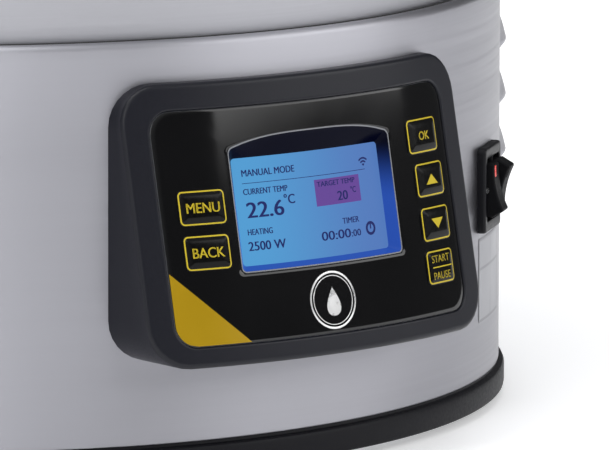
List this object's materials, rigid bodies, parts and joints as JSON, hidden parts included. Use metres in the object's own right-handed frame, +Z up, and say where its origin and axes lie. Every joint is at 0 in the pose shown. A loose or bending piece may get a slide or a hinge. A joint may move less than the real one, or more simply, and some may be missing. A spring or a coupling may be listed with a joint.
{
  "type": "electric all in one brewer",
  "caption": "Round steel electric mash and boil kettle on a wide louvred base, with a tilted control panel, tap, pump, malt pipe and glass lid.",
  "frame": {"origin": "centre of the footprint, on the surface the feet stand on", "axes": "+Z up along the kettle's axis, -Y out through the control panel, +X to the right of someone facing the panel"},
  "size_m": [0.478, 0.4364, 0.686],
  "materials": {
    "brushed_steel": "brushed round the shell",
    "polished_steel": "fine satin",
    "fitting_steel": "cast and turned, semi-bright",
    "base_plastic": "fine grain",
    "zinc_plate": "zinc plated sheet",
    "screw_steel": "plated",
    "foot_rubber": "matt",
    "silicone": "translucent white silicone",
    "housing_plastic": "satin, fine grain",
    "fascia_gloss": "high gloss",
    "display_surround": "dark blue satin",
    "display_glow": "lit blue display",
    "button_plastic": "satin black with a yellow outline",
    "circuit_board": "green solder mask",
    "switch_plastic": "satin black",
    "rocker_plastic": "satin black with a red lens",
    "aluminium": "cast",
    "bakelite": "moulded black",
    "pump_plastic": "moulded",
    "motor_paint": "grey paint",
    "grip_plastic": "heat-resistant, fine grain",
    "lid_glass": "tempered, clear"
  },
  "bodies": {
    "brewer": {"base_shell": "brushed_steel", "kettle": "polished_steel", "recirculation_pipe": "polished_steel", "handle_brackets": "polished_steel", "tap_body": "fitting_steel", "tap_nut": "fitting_steel", "tap_barb": "fitting_steel", "recirculation_valve": "fitting_steel", "drain_fitting": "fitting_steel", "pipe_clips": "fitting_steel", "temperature_probe": "fitting_steel", "pipe_bush": "fitting_steel", "base_ring": "base_plastic", "base_plate": "zinc_plate", "kettle_supports": "zinc_plate", "pump_bracket": "zinc_plate", "base_plate_screws": "screw_steel", "panel_screws": "screw_steel", "switch_pin": "screw_steel", "hose_clips": "screw_steel", "rubber_feet": "foot_rubber", "tap_gasket": "silicone", "pump_inlet_hose": "silicone", "pump_outlet_hose": "silicone", "panel_housing": "housing_plastic", "fascia_panel": "fascia_gloss", "display_frame": "display_surround", "display_module": "display_glow", "control_board": "circuit_board", "power_board": "circuit_board", "switch_body": "switch_plastic", "mains_inlet": "switch_plastic", "heat_sink": "aluminium", "heating_element": "aluminium", "thermal_cutout": "bakelite", "pump_housing": "pump_plastic", "pump_motor": "motor_paint", "handle_grips": "grip_plastic"},
    "left_rocker": {"rocker_left": "rocker_plastic"},
    "right_rocker": {"rocker_right": "rocker_plastic"},
    "impeller": {"pump_impeller": "pump_plastic"},
    "tap_handle": {"tap_ball": "fitting_steel", "tap_lever": "fitting_steel", "tap_lever_sleeve": "grip_plastic"},
    "valve_handle": {"recirculation_ball": "fitting_steel", "recirculation_lever": "fitting_steel"},
    "malt_basket": {"malt_pipe": "polished_steel", "malt_pipe_legs": "polished_steel", "malt_pipe_sieves": "polished_steel", "overflow_pipe": "polished_steel"},
    "lid": {"lid_rim": "polished_steel", "lid_glass": "lid_glass", "lid_knob": "bakelite", "lid_screw": "screw_steel"},
    "menu_key": {"menu_button": "button_plastic"},
    "back_key": {"back_button": "button_plastic"},
    "ok_key": {"ok_button": "button_plastic"},
    "up_key": {"up_button": "button_plastic"},
    "down_key": {"down_button": "button_plastic"},
    "start_key": {"start_pause_button": "button_plastic"}
  },
  "joints": [
    {"name": "menu_press", "type": "slide", "parent": "brewer", "child": "menu_key", "axis": [0.2324, 0.953, -0.1942], "range_m": [0, 0.0006], "stiffness_N_per_m": 500},
    {"name": "back_press", "type": "slide", "parent": "brewer", "child": "back_key", "axis": [0.2292, 0.9538, -0.1942], "range_m": [0, 0.0006], "stiffness_N_per_m": 500},
    {"name": "ok_press", "type": "slide", "parent": "brewer", "child": "ok_key", "axis": [-0.2412, 0.9508, -0.1942], "range_m": [0, 0.0006], "stiffness_N_per_m": 500},
    {"name": "up_press", "type": "slide", "parent": "brewer", "child": "up_key", "axis": [-0.2428, 0.9504, -0.1942], "range_m": [0, 0.0006], "stiffness_N_per_m": 500},
    {"name": "down_press", "type": "slide", "parent": "brewer", "child": "down_key", "axis": [-0.2404, 0.951, -0.1942], "range_m": [0, 0.0006], "stiffness_N_per_m": 500},
    {"name": "start_pause_press", "type": "slide", "parent": "brewer", "child": "start_key", "axis": [-0.2363, 0.9521, -0.1942], "range_m": [0, 0.0006], "stiffness_N_per_m": 500},
    {"name": "left_rocker_tilt", "type": "hinge", "parent": "brewer", "child": "left_rocker", "pos_m": [0.11693, -0.1586, 0.081], "axis": [0.8049, 0.5934, 0], "range_deg": [0, 24]},
    {"name": "right_rocker_tilt", "type": "hinge", "parent": "brewer", "child": "right_rocker", "pos_m": [0.11693, -0.1586, 0.081], "axis": [0.8049, 0.5934, 0], "range_deg": [-24, 0]},
    {"name": "impeller_spin", "type": "hinge", "parent": "brewer", "child": "impeller", "pos_m": [0, 0, 0.048], "axis": [1, 0, 0], "continuous": true},
    {"name": "tap_turn", "type": "hinge", "parent": "brewer", "child": "tap_handle", "pos_m": [-0.16393, -0.13756, 0.178], "axis": [0, 0, 1], "range_deg": [0, 90]},
    {"name": "recirculation_turn", "type": "hinge", "parent": "brewer", "child": "valve_handle", "pos_m": [0, 0.2072, 0.58], "axis": [-1, 0, 0], "range_deg": [0, 90]},
    {"name": "malt_pipe_lift", "type": "slide", "parent": "brewer", "child": "malt_basket", "axis": [0, 0, 1], "range_m": [0, 0.44]},
    {"name": "lid_lift", "type": "slide", "parent": "malt_basket", "child": "lid", "axis": [0, 0, 1], "range_m": [0, 0.25]}
  ]
}
